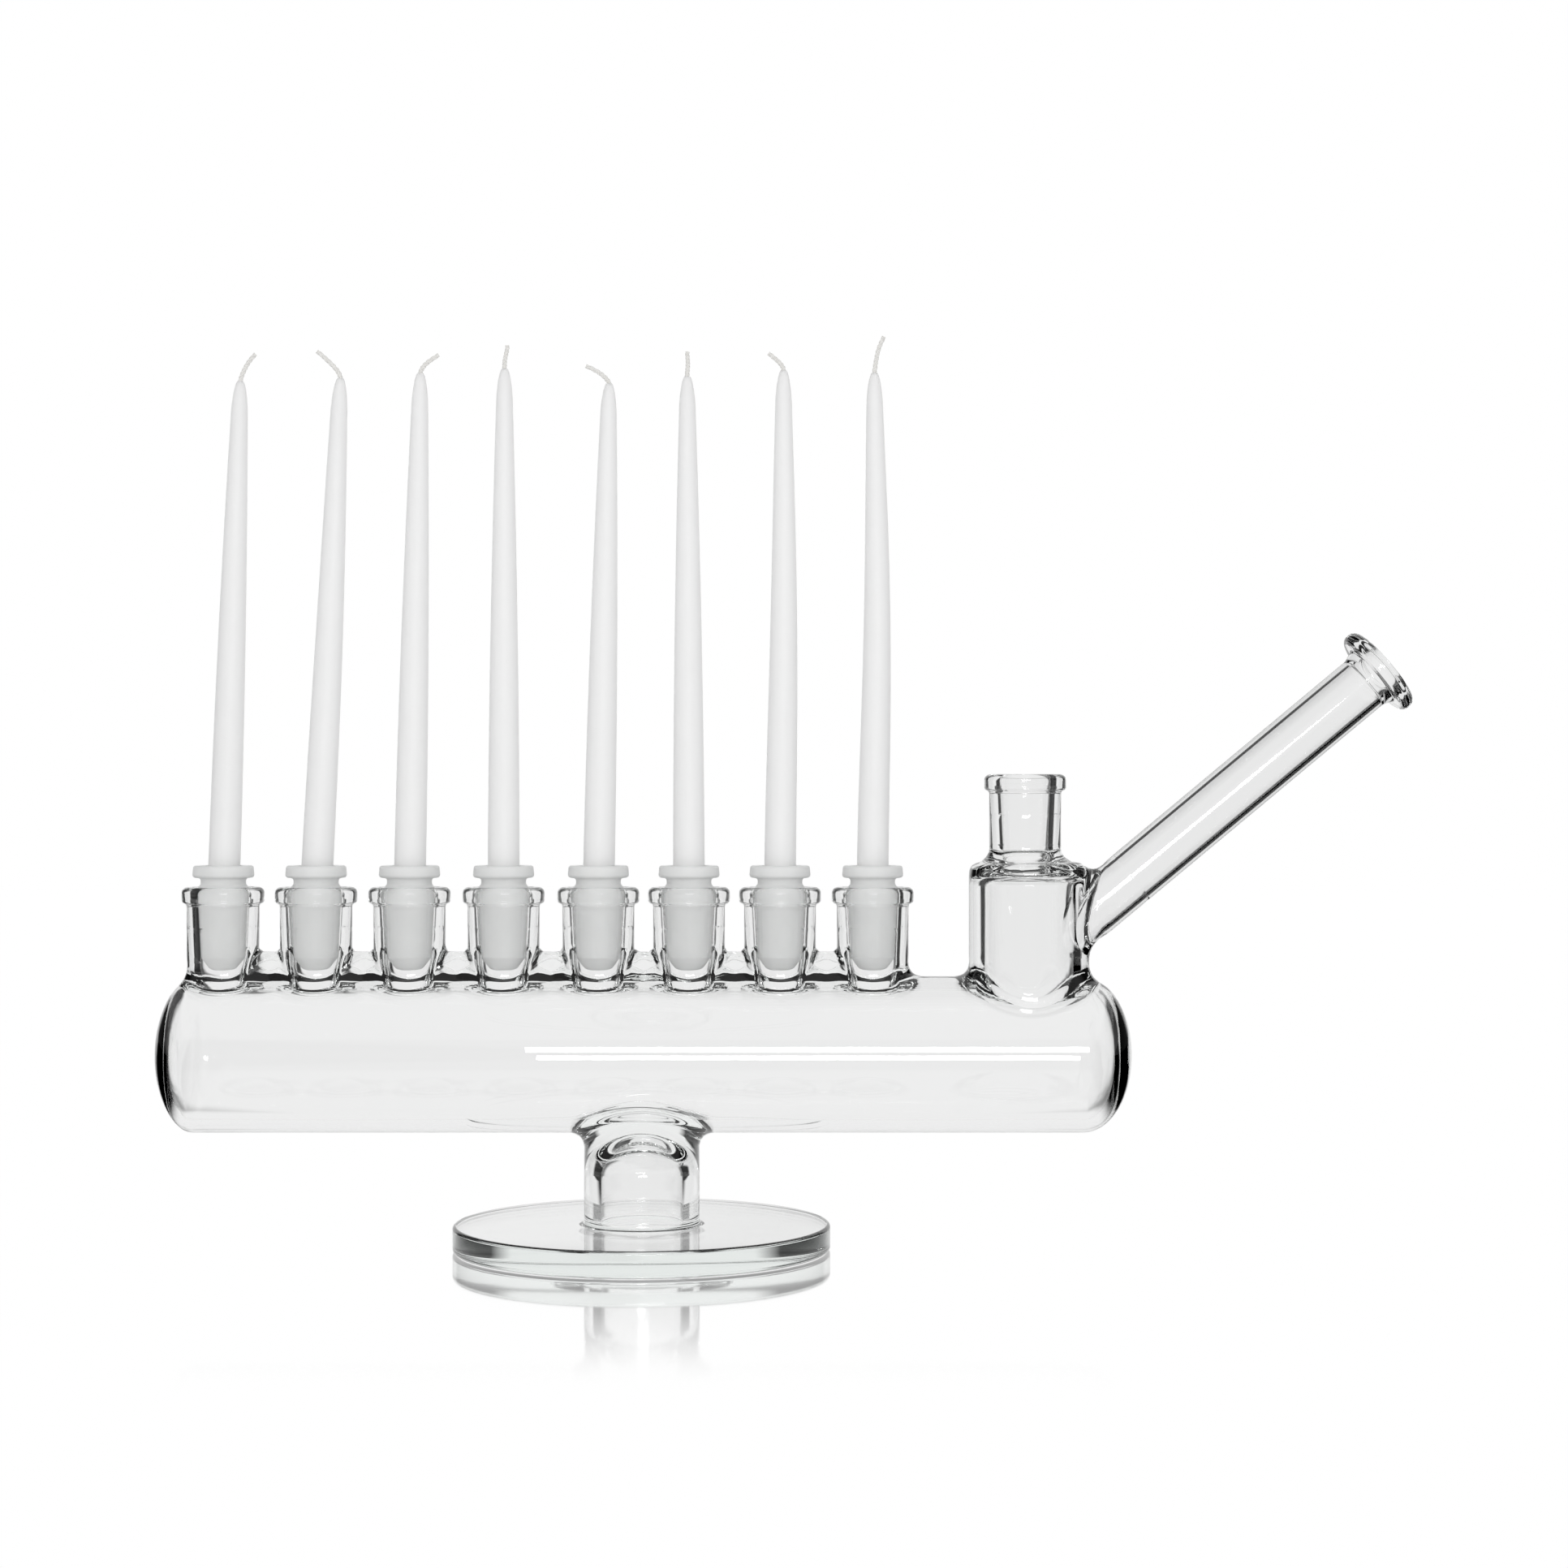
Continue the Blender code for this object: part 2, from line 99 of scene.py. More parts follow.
# Ground cups
CUP_STEPS = 96
CUP_RISE = 6.2 * MM
CUP_LIP_HEIGHT = 3.4 * MM
CUP_NECK = 6.4 * MM
CUP_BORE = 5.2 * MM
CUP_WELL = 4.0 * MM
CUP_CONE = 7.25 * MM
CUP_CONE_END = 6.25 * MM
CANDLE_SEAT = 16.5 * MM

# Candles and wicks
CANDLE_STEPS = 64
CANDLE_RINGS = 60
CANDLE_SLIMMING = 0.47
CANDLE_TURN_IN = 11.0 * MM
CANDLE_TIP = 0.8 * MM
WICK_RADIUS = 0.72 * MM
# Sideways bend at mid height of the candles that have one
BOW = {2: 0.3 * MM, 7: 0.55 * MM, 8: 1.0 * MM}
WICK_ROOT = 6.0 * MM
WICK_CURL = 1.6
WICK_TWIST = 1500  # degrees over a wick's length
# How far beside and above its wax tip each wick ends, in millimetres
WICK_ENDS = (
    (4.2, 7.9), (-7.2, 7.4), (4.9, 5.3), (0.7, 6.7), (-6.6, 4.9), (0.3, 7.1), (-4.2, 4.9), (2.6, 10.4),
)
WICK_SWAY = 0.25 * MM
WICK_THINNING = 0.12
STRAND_CORE = 0.62  # a wick's three strands, as shares of its radius
STRAND_LOBE = 0.38

# Finishes
GLASS_IOR = 1.47
GLASS_TINT = (0.5, 0.8, 0.66, 1)
GLASS_DEPTH = 1.2
WAVE_SIZE = 45.0
WAVE_HEIGHT = 0.02 * MM

# Studio
BACKDROP = 0.86
# How bright the room is against the turn away from the backdrop, as a share of half a turn
ROOM = (
    (0, BACKDROP),
    (0.155, BACKDROP),
    (0.2, 0.04),
    (0.38, 0.03),
    (0.5, 0.45),
    (1.0, 0.55),
)
OVERHEAD = 0.8
OVERHEAD_LEAN = (-2.0, 0.6)  # how steeply the overhead light's edge rises, to the left and to the right
OVERHEAD_EDGE = (0.0, 0.15)
# What wax, cotton and ground surfaces are lit by, from the front and from behind
SOFT_ROOM = (0.64, 0.5)
SOFT_TURN = (-0.7, 0.7)
JOINT_GAIN = 1.9  # how much brighter it is for what stands inside the clear joints
STRIP_PLACE = (0.08, -0.92, 0.245)
STRIP_AIM = (0.04, 0, 0.06)
STRIP_SIZE = (0.38, 0.12)
STRIP_WATTS = 1.6
FLOOR_SIZE = 6.0
FLOOR_DROP = 0.2 * MM
TABLE_ROUGHNESS = 0.05  # enough for the world to tell the table's mirror from smooth glass
MIRROR = 0.7  # how strongly the table mirrors what stands on it
FADE_START = -0.07
FADE_END = -0.215
FADE_POWER = 1.5
MIRRORED_RISE = 0.6  # the mirror sees white below this height of the room
FIRST_MIRROR = 2.5  # Ray Depth at the world is below this for the table's own mirror
# Painted light and shade in the table's glow, as the glass meets it: painted shade (grey) in front, turning to
# painted light between these depths
TABLE_FRONT = (-0.06, -0.02)
# painted shade: how grey the table's glow is in front, as the glass meets it
TABLE_FRONT_PAINTED_SHADE = 0.5
# The painted light fades to painted dark at its sides between two edges, each a reach at the foot and a spread
# behind
TABLE_SIDE = ((0.05, 0.65), (0.09, 0.85))
# Looked at steeply, as through the foot, the table's glow is a painted light near the middle
TABLE_STEEP = (0.8, 0.6)
TABLE_BELOW = (0.2, 0.15)
FILL_PLACES = ((-0.7, -1.3, 0.9), (0.75, -1.3, 0.9))
FILL_AIM = (0, 0, 0.15)
FILL_SIZE = (0.8, 0.9)
FILL_WATTS = 1.5
CAMERA_PLACE = (0.0407, -0.867, 0.1331)
CAMERA_LENS = 69.5
CAMERA_SENSOR = 36
BOUNCES = 32


def ends(node):
    low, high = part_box(node)
    return low, high, (low + high) / 2


TUBE_LOW, TUBE_HIGH, TUBE_MIDDLE = ends("main_tube")
TUBE_RADIUS = (TUBE_HIGH.y - TUBE_LOW.y) / 2
TOWER_LOW, TOWER_HIGH, TOWER_MIDDLE = ends("server_tower")
TOWER_RADIUS = (TOWER_HIGH.y - TOWER_LOW.y) / 2
_, SERVER_HIGH, SERVER_MIDDLE = ends("server_joint")
BASE_LOW, BASE_HIGH, _ = ends("base_disc")
BASE_RADIUS = (BASE_HIGH.x - BASE_LOW.x) / 2
MOUTH_LOW, MOUTH_HIGH, _ = ends("mouth_tube")
MOUTH_RADIUS = (MOUTH_HIGH.y - MOUTH_LOW.y) / 2
LIP_LOW, LIP_HIGH, LIP_MIDDLE = ends("mouthpiece_lip")
LIP_RADIUS = (LIP_HIGH.y - LIP_LOW.y) / 2
SOCKET_PLACES = [
    (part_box(f"candle_socket_{k}")[0].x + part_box(f"candle_socket_{k}")[1].x) / 2 for k in CUPS
]
SOCKET_MOUTH_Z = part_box("candle_socket_1")[1].z
GLASS_NODES = frame["record"]["behaviour"]["bodies"]["glass_body"]


# ---------------------------------------------------------------- modelling


def only(obj):
    bpy.ops.object.select_all(action="DESELECT")
    obj.select_set(True)
    bpy.context.view_layer.objects.active = obj


def rounded(corners, steps=8):
    """Corners (radius, height, rounding) joined by straight lines, with an arc at each rounded corner."""
    points = []
    for i, (r, h, rounding) in enumerate(corners):
        here = Vector((r, h))
        if rounding == 0 or i in (0, len(corners) - 1):
            points.append(here)
            continue
        back = Vector(corners[i - 1][:2]) - here
        on = Vector(corners[i + 1][:2]) - here
        half = back.angle(on) / 2
        reach = min(rounding / math.tan(half), back.length * 0.49, on.length * 0.49)
        radius = reach * math.tan(half)
        centre = here + (back.normalized() + on.normalized()).normalized() * (radius / math.sin(half))
        first = here + back.normalized() * reach - centre
        last = here + on.normalized() * reach - centre
        start = math.atan2(first.y, first.x)
        sweep = (math.atan2(last.y, last.x) - start + math.pi) % (2 * math.pi) - math.pi
        for n in range(steps + 1):
            turn = start + sweep * n / steps
            points.append(centre + Vector((math.cos(turn), math.sin(turn))) * radius)
    return points


def braced(outline):
    """Adds a point near both ends of each long straight stretch, which keeps its shading straight."""
    points = [Vector(outline[0])]
    for here, there in zip(outline, outline[1:]):
        here, there = Vector(here), Vector(there)
        step = (there - here).normalized() * BRACE
        if (there - here).length > 6 * BRACE:
            points += [here + step, there - step]
        points.append(there)
    return points


def turned(name, outline, centre=(0, 0, 0), axis=(0, 0, 1), steps=PATTERN_STEPS):
    """Extrudes the outline, (radius, distance along the axis), point by point, then spins it round the axis."""
    outline = braced(outline)
    centre, axis = Vector(centre), Vector(axis).normalized()
    side = Vector((axis.z, 0, -axis.x))
    route = [centre + side * r + axis * h for r, h in outline]
    bpy.ops.object.select_all(action="DESELECT")
    bpy.ops.mesh.primitive_plane_add(size=MM, location=route[0])
    obj = bpy.context.object
    obj.name = obj.data.name = name
    bpy.ops.object.mode_set(mode="EDIT")
    bpy.ops.mesh.select_all(action="SELECT")
    bpy.ops.mesh.merge(type="CENTER")
    for here, there in zip(route, route[1:]):
        bpy.ops.mesh.extrude_region_move(TRANSFORM_OT_translate={"value": there - here})
    bpy.ops.mesh.select_all(action="SELECT")
    bpy.ops.mesh.spin(steps=steps, angle=2 * math.pi, center=centre, axis=axis)
    bpy.ops.mesh.select_all(action="SELECT")
    bpy.ops.mesh.remove_doubles(threshold=2e-6)
    bpy.ops.mesh.normals_make_consistent(inside=False)
    bpy.ops.object.mode_set(mode="OBJECT")
    bpy.ops.object.transform_apply(location=True, rotation=True, scale=True)
    return obj


def combine(obj, others, operation):
    """Booleans each of the others into obj, and removes them."""
    for other in others:
        only(obj)
        bpy.ops.object.modifier_add(type="BOOLEAN")
        obj.modifiers[-1].operation = operation
        obj.modifiers[-1].object = other
        bpy.ops.object.modifier_apply(modifier=obj.modifiers[-1].name)
        bpy.data.objects.remove(other)
    return obj


def place_array(obj):
    places = np.empty(len(obj.data.vertices) * 3, np.float32)
    obj.data.vertices.foreach_get("co", places)
    return places.reshape(-1, 3).astype(float)


def soften(obj, near, repeat):
    """Smooths the vertices that a mask picks out, as a flame softens a weld."""
    only(obj)
    bpy.ops.object.mode_set(mode="EDIT")
    bpy.ops.mesh.select_mode(type="VERT")
    bpy.ops.mesh.select_all(action="DESELECT")
    bpy.ops.object.mode_set(mode="OBJECT")
    obj.data.vertices.foreach_set("select", near)
    bpy.ops.object.mode_set(mode="EDIT")
    bpy.ops.mesh.vertices_smooth(factor=0.5, repeat=repeat)
    bpy.ops.object.mode_set(mode="OBJECT")


# ---------------------------------------------------------------- blown glass body


def dome_outline(radius, rim, tip, fullness, steps=20):
    """A dome from the rim to the pole, (radius, distance along the axis). Fullness 1 is an ellipse."""
    turns = [math.pi / 2 * n / steps for n in range(1, steps)]
    arc = [(radius * math.cos(t) ** (1 / fullness), rim + (tip - rim) * math.sin(t)) for t in turns]
    return [(radius, rim)] + arc + [(0, tip)]


def chamber(
    name, radius, left_tip, right_tip, left_fullness, right_fullness, steps=PATTERN_STEPS
):
    """A round tube lying along X, with a dome at each end."""
    left_rim = TUBE_LOW.x + LEFT_DOME
    right_rim = TUBE_HIGH.x - RIGHT_DOME
    right = dome_outline(radius, right_rim, right_tip, right_fullness)
    left = dome_outline(radius, left_rim, left_tip, left_fullness)
    return turned(name, right[::-1] + left, (0, 0, TUBE_MIDDLE.z), (1, 0, 0), steps)


def socket_bore(name, x, mouth_z, foot_z):
    outline = rounded([
        (0, mouth_z + 2 * MM, 0),
        (SOCKET_BORE + 1.4 * MM, mouth_z + 2 * MM, 0),
        (SOCKET_BORE + 1.4 * MM, mouth_z, 0),
        (SOCKET_BORE, mouth_z - 1.2 * MM, 1.0 * MM),
        (SOCKET_BORE_LOW, mouth_z - GROUND_LENGTH, 1.0 * MM),
        (SOCKET_BORE_LOW, foot_z, 0),
        (0, foot_z, 0),
    ], steps=5)
    return turned(name, outline, (x, 0, 0), steps=JOINT_STEPS)


def mouth_line():
    """The middle of the mouthpiece's lip, and the way the mouth tube points."""
    return LIP_MIDDLE, Vector((math.cos(MOUTH_ANGLE), 0, math.sin(MOUTH_ANGLE)))


def socket_top(name, x, mouth_z):
    """The rounded lip and upper body of a ground joint, turned exactly."""
    radius = SOCKET_RADIUS + LAPPED
    outline = rounded([
        (0, mouth_z, 0),
        (SOCKET_LIP_RADIUS, mouth_z, 1.7 * MM),
        (SOCKET_LIP_RADIUS, mouth_z - SOCKET_LIP_HEIGHT, 1.6 * MM),
        (radius, mouth_z - SOCKET_LIP_HEIGHT - 0.5 * MM, 1.0 * MM),
        (radius, mouth_z - JOINT_LAP_Z, 0),
        (0, mouth_z - JOINT_LAP_Z, 0),
    ], steps=6)
    return turned(name, outline, (x, 0, 0), steps=JOINT_STEPS)


def plain_rod(name, radius, low, high, centre=(0, 0, 0), axis=(0, 0, 1), steps=PATTERN_STEPS):
    return turned(name, [(0, high), (radius, high), (radius, low), (0, low)], centre, axis, steps)


def make_ridge():
    """Glass heaped between the sockets, with a round valley at each gap."""
    valley_z = TUBE_HIGH.z + VALLEY_RISE + VALLEY_RADIUS
    centre = (0, 0, valley_z - RIDGE_RADIUS)
    ridge = plain_rod("ridge", RIDGE_RADIUS, SOCKET_PLACES[0], SOCKET_PLACES[-1], centre, (1, 0, 0))
    gaps = [(left + right) / 2 for left, right in zip(SOCKET_PLACES, SOCKET_PLACES[1:])]
    reach = 2 * RIDGE_RADIUS
    valleys = [
        plain_rod(
            f"valley_{n}", VALLEY_RADIUS, -reach, reach, (x, 0, valley_z), (0, 1, 0), HOLLOW_STEPS
        )
        for n, x in enumerate(gaps)
    ]
    return combine(ridge, valleys, "DIFFERENCE")


def make_welded_parts():
    """The tubes that are welded to each other, each still a plain turned shape."""
    lip_middle, along = mouth_line()
    body = chamber(
        "blown_glass_body", TUBE_RADIUS, TUBE_LOW.x, TUBE_HIGH.x, LEFT_FULLNESS, RIGHT_FULLNESS
    )
    parts = [body]
    foot_z = TUBE_MIDDLE.z + 14 * MM
    stub_z = SOCKET_MOUTH_Z - JOINT_LAP_Z + 1 * MM
    for k, x in zip(CUPS, SOCKET_PLACES):
        parts.append(plain_rod(f"socket_{k}", SOCKET_RADIUS, foot_z, stub_z, (x, 0, 0)))
    parts.append(make_ridge())
    tower = rounded([
        (0, TOWER_HIGH.z, 0),
        (TOWER_RADIUS, TOWER_HIGH.z, 3.2 * MM),
        (TOWER_RADIUS, TUBE_MIDDLE.z + 5 * MM, 0),
        (0, TUBE_MIDDLE.z + 5 * MM, 0),
    ])
    parts.append(turned("tower", tower, (TOWER_MIDDLE.x, 0, 0)))
    server_stub_z = SERVER_HIGH.z - JOINT_LAP_Z + 1 * MM
    server = (SERVER_MIDDLE.x, 0, 0)
    parts.append(plain_rod("server", SOCKET_RADIUS, TOWER_HIGH.z - 2 * MM, server_stub_z, server))
    reach = (TOWER_MIDDLE.x - lip_middle.x) / along.x
    parts.append(plain_rod("mouth", MOUTH_RADIUS, reach, 1 * MM - MOUTH_LAP, lip_middle, along))
    stem_z = BASE_HIGH.z + STEM_LAP - 1 * MM
    parts.append(plain_rod("stem", STEM_RADIUS, stem_z, TUBE_MIDDLE.z - 8 * MM))
    return parts


def make_turned_parts():
    """The joints, the mouthpiece and the foot, which keep their exact turned shapes."""
    lip_middle, along = mouth_line()
    parts = [socket_top(f"socket_top_{k}", x, SOCKET_MOUTH_Z) for k, x in zip(CUPS, SOCKET_PLACES)]
    parts.append(socket_top("server_top", SERVER_MIDDLE.x, SERVER_HIGH.z))
    face = LIP_THICKNESS / 2
    radius = MOUTH_RADIUS + LAPPED
    mouth = rounded([
        (0, face, 0),
        (LIP_RADIUS, face, 1.9 * MM),
        (LIP_RADIUS, -face, 1.9 * MM),
        (radius + 1.2 * MM, -face, 0.6 * MM),
        (radius, -face - 3.0 * MM, 2.0 * MM),
        (radius, -MOUTH_LAP, 0),
        (0, -MOUTH_LAP, 0),
    ])
    parts.append(turned("mouth_end", mouth, lip_middle, along, steps=96))
    radius = STEM_RADIUS + LAPPED
    foot = rounded([
        (0, BASE_HIGH.z + STEM_LAP, 0),
        (radius, BASE_HIGH.z + STEM_LAP, 0),
        (radius, BASE_HIGH.z, 1.5 * MM),
        (BASE_RADIUS, BASE_HIGH.z, 1.0 * MM),
        (BASE_RADIUS, 0, 1.0 * MM),
        (0, 0, 0),
    ])
    parts.append(turned("foot", foot, steps=192))
    return parts


def join(parts):
    only(parts[0])
    for part in parts:
        part.select_set(True)
    bpy.ops.object.join()
    return bpy.context.object


def make_outside():
    """The welded tubes as one skin: its welds softened, and drawn back to the true tubes elsewhere."""
    body = join(make_welded_parts())
    bpy.ops.object.duplicate()
    pattern = bpy.context.object
    only(body)
    bpy.ops.object.modifier_add(type="REMESH")
    body.modifiers[-1].mode = "VOXEL"
    body.modifiers[-1].voxel_size = VOXEL
    bpy.ops.object.modifier_apply(modifier=body.modifiers[-1].name)
    places = place_array(body)
    distance = weld_distance(places)
    soften(body, np.ones(len(places), bool), 2)
    for reach, repeat in WELD_SMOOTHING:
        soften(body, distance < reach, repeat)
    true = body.vertex_groups.new(name="true_tube")
    share = np.clip((distance - TRUE_START) / TRUE_SPAN, 0, 1)
    weights = np.round(10 * share * share * (3 - 2 * share)).astype(int)
    for weight in range(1, 11):
        true.add(np.flatnonzero(weights == weight).tolist(), weight / 10, "REPLACE")
    only(body)
    bpy.ops.object.modifier_add(type="SHRINKWRAP")
    body.modifiers[-1].target = pattern
    body.modifiers[-1].wrap_method = "NEAREST_SURFACEPOINT"
    body.modifiers[-1].vertex_group = true.name
    bpy.ops.object.modifier_apply(modifier=body.modifiers[-1].name)
    bpy.data.objects.remove(pattern)
    body.vertex_groups.clear()
    return combine(body, make_turned_parts(), "UNION")


def weld_distance(places):
    """How far each vertex is from the nearest weld: a weld is where two of the outer shapes cross."""
    x, y, z = places.T
    from_tube = np.abs(np.hypot(y, z - TUBE_MIDDLE.z) - TUBE_RADIUS)
    nearest = np.full(len(places), 1.0)
    uprights = [(s, SOCKET_RADIUS) for s in SOCKET_PLACES] + [(TOWER_MIDDLE.x, TOWER_RADIUS)]
    for centre, radius in uprights:
        from_wall = np.abs(np.hypot(x - centre, y) - radius)
        weld = np.maximum(from_wall, from_tube)
        nearest = np.minimum(nearest, np.where(z > TUBE_MIDDLE.z, weld, 1.0))
    stem = np.maximum(np.abs(np.hypot(x, y) - STEM_RADIUS), from_tube)
    nearest = np.minimum(nearest, np.where(z < TUBE_MIDDLE.z, stem, 1.0))
    lip_middle, along = mouth_line()
    offset = places - np.array(lip_middle)
    length = offset @ np.array(along)
    from_axis = np.linalg.norm(offset - np.outer(length, along), axis=1)
    from_tower = np.abs(np.hypot(x - TOWER_MIDDLE.x, y) - TOWER_RADIUS)
    mouth = np.maximum(np.abs(from_axis - MOUTH_RADIUS), from_tower)
    nearest = np.minimum(nearest, np.where(x > TOWER_MIDDLE.x, mouth, 1.0))
    from_server = np.abs(np.hypot(x - SERVER_MIDDLE.x, y) - SOCKET_RADIUS)
    server = np.maximum(from_server, np.abs(z - TOWER_HIGH.z))
    nearest = np.minimum(nearest, server + SERVER_WELD)
    in_row = (np.abs(y) < ROW_DEPTH) & (x > SOCKET_PLACES[0]) & (x < SOCKET_PLACES[-1])
    above = np.clip((z - TUBE_HIGH.z - ROW_START) / ROW_SPAN, 0, 1)
    return nearest + np.where(in_row, ROW_KEPT * above, 0)


def make_hollow():
    """Everything the glassblower leaves empty, fused into one shape."""
    lip_middle, along = mouth_line()
    inner = TUBE_RADIUS - TUBE_WALL
    hollow = chamber(
        "hollow", inner, TUBE_LOW.x + END_WALL, TUBE_HIGH.x - END_WALL,
        HOLLOW_FULLNESS, HOLLOW_FULLNESS, HOLLOW_STEPS,
    )
    parts = [
        socket_bore(f"bore_{k}", x, SOCKET_MOUTH_Z, TUBE_MIDDLE.z + 10 * MM)
        for k, x in zip(CUPS, SOCKET_PLACES)
    ]
    top = TOWER_HIGH.z - TOWER_TOP_WALL
    tower_inner = TOWER_RADIUS - TOWER_WALL
    tower = rounded([
        (0, top, 0),
        (tower_inner, top, 3.0 * MM),
        (tower_inner, TUBE_MIDDLE.z + 8 * MM, 0),
        (0, TUBE_MIDDLE.z + 8 * MM, 0),
    ])
    parts.append(turned("tower_hollow", tower, (TOWER_MIDDLE.x, 0, 0), steps=HOLLOW_STEPS))
    parts.append(socket_bore("server_bore", SERVER_MIDDLE.x, SERVER_HIGH.z, TOWER_HIGH.z - 8 * MM))
    bore = MOUTH_RADIUS - MOUTH_WALL
    reach = (TOWER_MIDDLE.x + 4 * MM - lip_middle.x) / along.x
    mouth = rounded([
        (0, LIP_THICKNESS, 0),
        (bore + 1.4 * MM, LIP_THICKNESS, 0),
        (bore + 1.4 * MM, LIP_THICKNESS / 2, 0),
        (bore, LIP_THICKNESS / 2 - 1.4 * MM, 1.0 * MM),
        (bore, reach, 0),
        (0, reach, 0),
    ])
    parts.append(turned("mouth_bore", mouth, lip_middle, along, steps=JOINT_STEPS))
    return combine(hollow, parts, "UNION")


def make_stem_hollow():
    crown = TUBE_LOW.z + 0.2 * MM
    radius = STEM_RADIUS - STEM_WALL
    low = BASE_HIGH.z - STEM_SINK
    outline = dome_outline(radius, crown - STEM_DOME, crown, 1.0)[::-1] + [(radius, low), (0, low)]
    return turned("stem_hollow", outline, steps=HOLLOW_STEPS)


def make_glass_body(finish):
    body = make_outside()
    combine(body, [make_hollow(), make_stem_hollow()], "DIFFERENCE")
    only(body)
    bpy.ops.object.shade_smooth_by_angle(angle=math.radians(35))
    body.data.materials.clear()
    body.data.materials.append(finish)
    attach(body, "glass_body")
    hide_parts(*GLASS_NODES)
    return body


# ---------------------------------------------------------------- cups, candles and wicks


def make_cup(number, clear, ground):
    low, high, middle = ends(f"candle_cup_{number}")
    top = high.z
    lip = (high.y - low.y) / 2
    mouth = top - CUP_RISE
    seat = top - CANDLE_SEAT
    outline = rounded([
        (0, low.z + 2.4 * MM, 0),
        (CUP_WELL, low.z + 2.6 * MM, 2.4 * MM),
        (CUP_WELL, seat - 0.6 * MM, 0.5 * MM),
        (CUP_BORE, seat, 0.4 * MM),
        (CUP_BORE, top - 0.2 * MM, 1.2 * MM),
        (lip - 0.3 * MM, top, 0.8 * MM),
        (lip, top - CUP_LIP_HEIGHT, 0.9 * MM),
        (CUP_NECK, top - CUP_LIP_HEIGHT - 0.3 * MM, 0.8 * MM),
        (CUP_NECK, mouth + 0.9 * MM, 0.8 * MM),
        (CUP_CONE, mouth - 0.2 * MM, 0.4 * MM),
        (CUP_CONE_END, mouth - GROUND_LENGTH, 1.0 * MM),
        (3.6 * MM, low.z, 2.6 * MM),
        (0, low.z, 0),
    ])
    cup = turned(f"ground_cup_{number}", outline, (middle.x, 0, 0), steps=CUP_STEPS)
    only(cup)
    bpy.ops.object.shade_smooth_by_angle(angle=math.radians(35))
    cup.data.materials.clear()
    cup.data.materials.append(clear)
    cup.data.materials.append(ground)
    for face in cup.data.polygons:
        outward = Vector((face.center.x - middle.x, face.center.y))
        outside = outward.length > CUP_WELL + 1.0 * MM and outward.dot(face.normal.xy) > 0
        nose = face.center.z < low.z + 2.0 * MM
        if nose or outside:
            face.material_index = 1
    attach(cup, f"cup_{number}")
    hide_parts(f"candle_cup_{number}")
    return cup


def candle_frame(number):
    """Foot centre, direction, length and radius of a CAD candle, from its box and its joint's axis."""
    joint = next(j for j in frame["joints"] if j["name"] == f"candle_{number}_lift")
    along = Vector(joint["axis"]).normalized()
    low, high, _ = ends(f"candle_{number}")
    radius = (high.y - low.y) / 2
    foot = Vector((low.x + radius * along.z, 0, low.z + radius * abs(along.x)))
    return foot, along, (high.z - foot.z) / along.z, radius


def make_candle(number, finish):
    foot, along, length, radius = candle_frame(number)
    straight = length - CANDLE_TURN_IN
    outline = [(0, 0), (radius - 0.6 * MM, 0), (radius, 0.6 * MM)]
    for n in range(1, CANDLE_RINGS + 1):
        share = n / CANDLE_RINGS
        outline.append((radius * (1 - CANDLE_SLIMMING * share**2), straight * share))
    shoulder = radius * (1 - CANDLE_SLIMMING)
    for n in range(1, 13):
        turn = math.pi / 2 * n / 12
        reach = CANDLE_TIP + (shoulder - CANDLE_TIP) * math.cos(turn) ** 1.25
        outline.append((reach, straight + CANDLE_TURN_IN * math.sin(turn) ** 1.1))
    outline.append((0, length))
    candle = turned(f"taper_candle_{number}", outline, foot, along, CANDLE_STEPS)
    bow = BOW.get(number, 0)
    for vertex in candle.data.vertices:
        share = (vertex.co.z - foot.z - CANDLE_SEAT) / (length - CANDLE_SEAT)
        if share > 0:
            vertex.co.x += bow * math.sin(math.pi * min(share, 1)) ** 1.5
    only(candle)
    bpy.ops.object.shade_smooth_by_angle(angle=math.radians(50))
    candle.data.materials.clear()
    candle.data.materials.append(finish)
    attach(candle, f"candle_{number}")
    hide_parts(f"candle_{number}")
    return candle


def strand_profile():
    """Cross-section of three cotton strands laid round each other."""
    bpy.ops.object.select_all(action="DESELECT")
    bpy.ops.curve.primitive_bezier_circle_add(radius=WICK_RADIUS)
    profile = bpy.context.object
    profile.name = profile.data.name = "wick_strands"
    bpy.ops.object.mode_set(mode="EDIT")
    bpy.ops.curve.spline_type_set(type="POLY")
    bpy.ops.curve.select_all(action="SELECT")
    bpy.ops.curve.subdivide(number_cuts=5)
    bpy.ops.object.mode_set(mode="OBJECT")
    for point in profile.data.splines[0].points:
        turn = math.atan2(point.co.y, point.co.x)
        lobe = WICK_RADIUS * (STRAND_CORE + STRAND_LOBE * abs(math.cos(1.5 * turn)))
        point.co = (lobe * math.cos(turn), lobe * math.sin(turn), 0, 1)
    return profile


